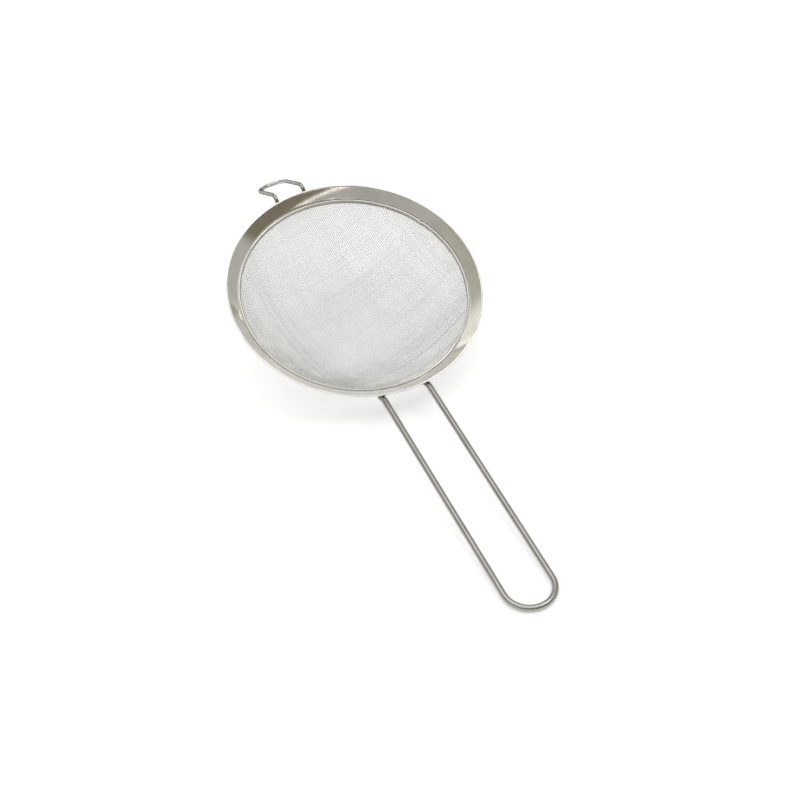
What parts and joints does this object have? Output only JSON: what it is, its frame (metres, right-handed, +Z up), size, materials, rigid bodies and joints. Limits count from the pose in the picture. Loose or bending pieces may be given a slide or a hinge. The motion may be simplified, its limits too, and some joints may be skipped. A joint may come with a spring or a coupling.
{
  "type": "fine-mesh strainer",
  "caption": "Round kitchen strainer with a shallow woven-wire bowl clamped in a sloping steel rim, a long bent-wire loop handle and a small wire hook that rests on a pot.",
  "frame": {"origin": "on the table under the middle of the strainer's box, as the strainer lies on its bowl and on the end of its handle", "axes": "+Z up from the table, +X along the handle away from the bowl, +Y completes the right-handed frame"},
  "size_m": [0.3572, 0.16, 0.0718],
  "materials": {
    "rim_steel": "satin pressed sheet",
    "ring_steel": "folded bright strip",
    "cloth_steel": "woven bright wire",
    "handle_steel": "drawn and polished wire",
    "hook_steel": "drawn and polished wire",
    "weld_steel": "dull weld metal with heat tint"
  },
  "bodies": {
    "root": {"rim_flange": "rim_steel", "clamp_ring": "ring_steel", "mesh_bowl": "cloth_steel", "handle_wire": "handle_steel", "rest_hook": "hook_steel", "handle_weld_left": "weld_steel", "handle_weld_right": "weld_steel", "hook_weld_left": "weld_steel", "hook_weld_right": "weld_steel"}
  },
  "joints": []
}
